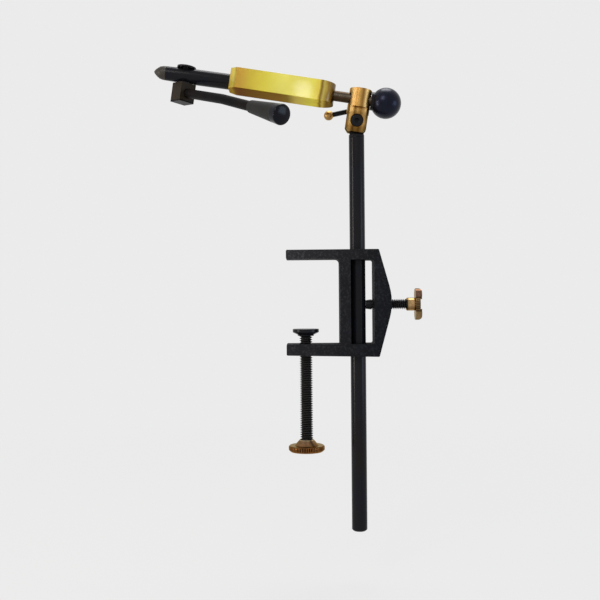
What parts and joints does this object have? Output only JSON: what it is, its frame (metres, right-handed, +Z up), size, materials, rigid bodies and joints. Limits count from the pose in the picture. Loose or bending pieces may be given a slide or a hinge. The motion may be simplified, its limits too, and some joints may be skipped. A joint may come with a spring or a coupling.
{
  "type": "fly tying vise",
  "caption": "Table-clamped fly tying vise: C-clamp, sliding post, tilting brass head and a rotary brass body with a jaw tube and cam lever",
  "frame": {"origin": "on the clamp screw's axis, in the underside of the upper arm, where the table's top meets it", "axes": "+Z up along the post, the jaws point to -X, +Y away from the viewer"},
  "size_m": [0.1635, 0.0955, 0.2876],
  "materials": {
    "frame_black": "satin black coated steel",
    "black_steel": "black oxide finish, satin",
    "jaw_steel": "hardened tool steel, grey-brown temper",
    "shaft_steel": "ground steel",
    "bright_brass": "polished and lacquered",
    "warm_brass": "turned and polished",
    "aged_brass": "knurled, lightly tarnished",
    "ball_black": "glossy phenolic",
    "grip_black": "matte moulded, glossy end",
    "nylon": "natural nylon"
  },
  "bodies": {
    "clamp": {"clamp_frame": "frame_black"},
    "pad": {"clamp_pad": "black_steel", "pad_ring": "shaft_steel"},
    "screw": {"clamp_screw": "black_steel", "clamp_knob": "aged_brass", "knob_grub_screw": "black_steel"},
    "lock_nose": {"lock_tip": "black_steel"},
    "lock_screw": {"lock_stud": "black_steel", "lock_knob": "aged_brass"},
    "post": {"post": "black_steel"},
    "tang": {"post_tang": "black_steel"},
    "head": {"head_block": "warm_brass", "front_bushing": "warm_brass", "rear_bushing": "warm_brass", "pivot_bolt": "black_steel", "tilt_washers": "nylon", "tension_plug": "nylon"},
    "tension": {"tension_screw": "black_steel", "tension_lever": "black_steel", "tension_ball": "warm_brass"},
    "rotor": {"rotary_shaft": "shaft_steel", "thrust_collar": "black_steel", "collar_set_screw": "black_steel", "ball_insert": "warm_brass", "ball_knob": "ball_black", "jaw_body": "bright_brass", "shaft_set_screw": "black_steel", "tube_set_screw": "black_steel", "jaw_tube": "black_steel"},
    "draw": {"draw_bar": "jaw_steel", "jaw_pin": "shaft_steel"},
    "near_jaw": {"jaw_near": "jaw_steel"},
    "far_jaw": {"jaw_far": "jaw_steel"},
    "lever": {"cam_spindle": "black_steel", "cam_spacer": "black_steel", "cam_block": "black_steel", "cam_set_screw": "black_steel", "lever_rod": "black_steel", "lever_knob": "grip_black"}
  },
  "joints": [
    {"name": "pad_travel", "type": "slide", "parent": "clamp", "child": "pad", "axis": [0, 0, 1], "range_m": [-0.0048, 0.0425]},
    {"name": "screw_turn", "type": "hinge", "parent": "pad", "child": "screw", "pos_m": [0, 0, -0.06], "axis": [0, 0, 1], "range_deg": [-1226, 10846]},
    {"name": "lock_travel", "type": "slide", "parent": "clamp", "child": "lock_nose", "axis": [-1, 0, 0], "range_m": [-0.00385, 0]},
    {"name": "lock_turn", "type": "hinge", "parent": "lock_nose", "child": "lock_screw", "pos_m": [0.06, 0, -0.028], "axis": [-1, 0, 0], "range_deg": [-1094, 0]},
    {"name": "post_height", "type": "slide", "parent": "clamp", "child": "post", "axis": [0, 0, 1], "range_m": [-0.03, 0.095]},
    {"name": "post_turn", "type": "hinge", "parent": "post", "child": "tang", "pos_m": [0.03225, 0, 0.077], "axis": [0, 0, 1], "continuous": true},
    {"name": "head_tilt", "type": "hinge", "parent": "tang", "child": "head", "pos_m": [0.03225, 0, 0.0848], "axis": [0, 1, 0], "range_deg": [-30, 36]},
    {"name": "tension_turn", "type": "hinge", "parent": "head", "child": "tension", "pos_m": [0.03388, 0.0127, 0.09522], "axis": [0, 1, 0], "range_deg": [0, 120]},
    {"name": "rotary_turn", "type": "hinge", "parent": "head", "child": "rotor", "pos_m": [0.0344, 0, 0.09848], "axis": [0.988, 0, -0.1547], "continuous": true},
    {"name": "lever_swing", "type": "hinge", "parent": "rotor", "child": "lever", "pos_m": [-0.0729, 0, 0.11393], "axis": [-0.1426, 0, -0.9898], "range_deg": [0, 100]},
    {"name": "draw_travel", "type": "slide", "parent": "rotor", "child": "draw", "axis": [-0.9898, 0, 0.1426], "range_m": [0, 0.000807]},
    {"name": "near_jaw_open", "type": "hinge", "parent": "draw", "child": "near_jaw", "pos_m": [-0.07825, 0, 0.1147], "axis": [0.1426, 0, 0.9898], "range_deg": [0, 2.05]},
    {"name": "far_jaw_open", "type": "hinge", "parent": "draw", "child": "far_jaw", "pos_m": [-0.07825, 0, 0.1147], "axis": [-0.1426, 0, -0.9898], "range_deg": [0, 2.05]}
  ],
  "couplings": [
    {"joint": "screw_turn", "follows": "pad_travel", "rad_per_m": 4453},
    {"joint": "lock_turn", "follows": "lock_travel", "rad_per_m": 4947.4},
    {"joint": "draw_travel", "follows": "lever_swing", "m_per_rad": 0.00045647},
    {"joint": "near_jaw_open", "follows": "lever_swing", "ratio": 0.02},
    {"joint": "far_jaw_open", "follows": "lever_swing", "ratio": 0.02}
  ]
}
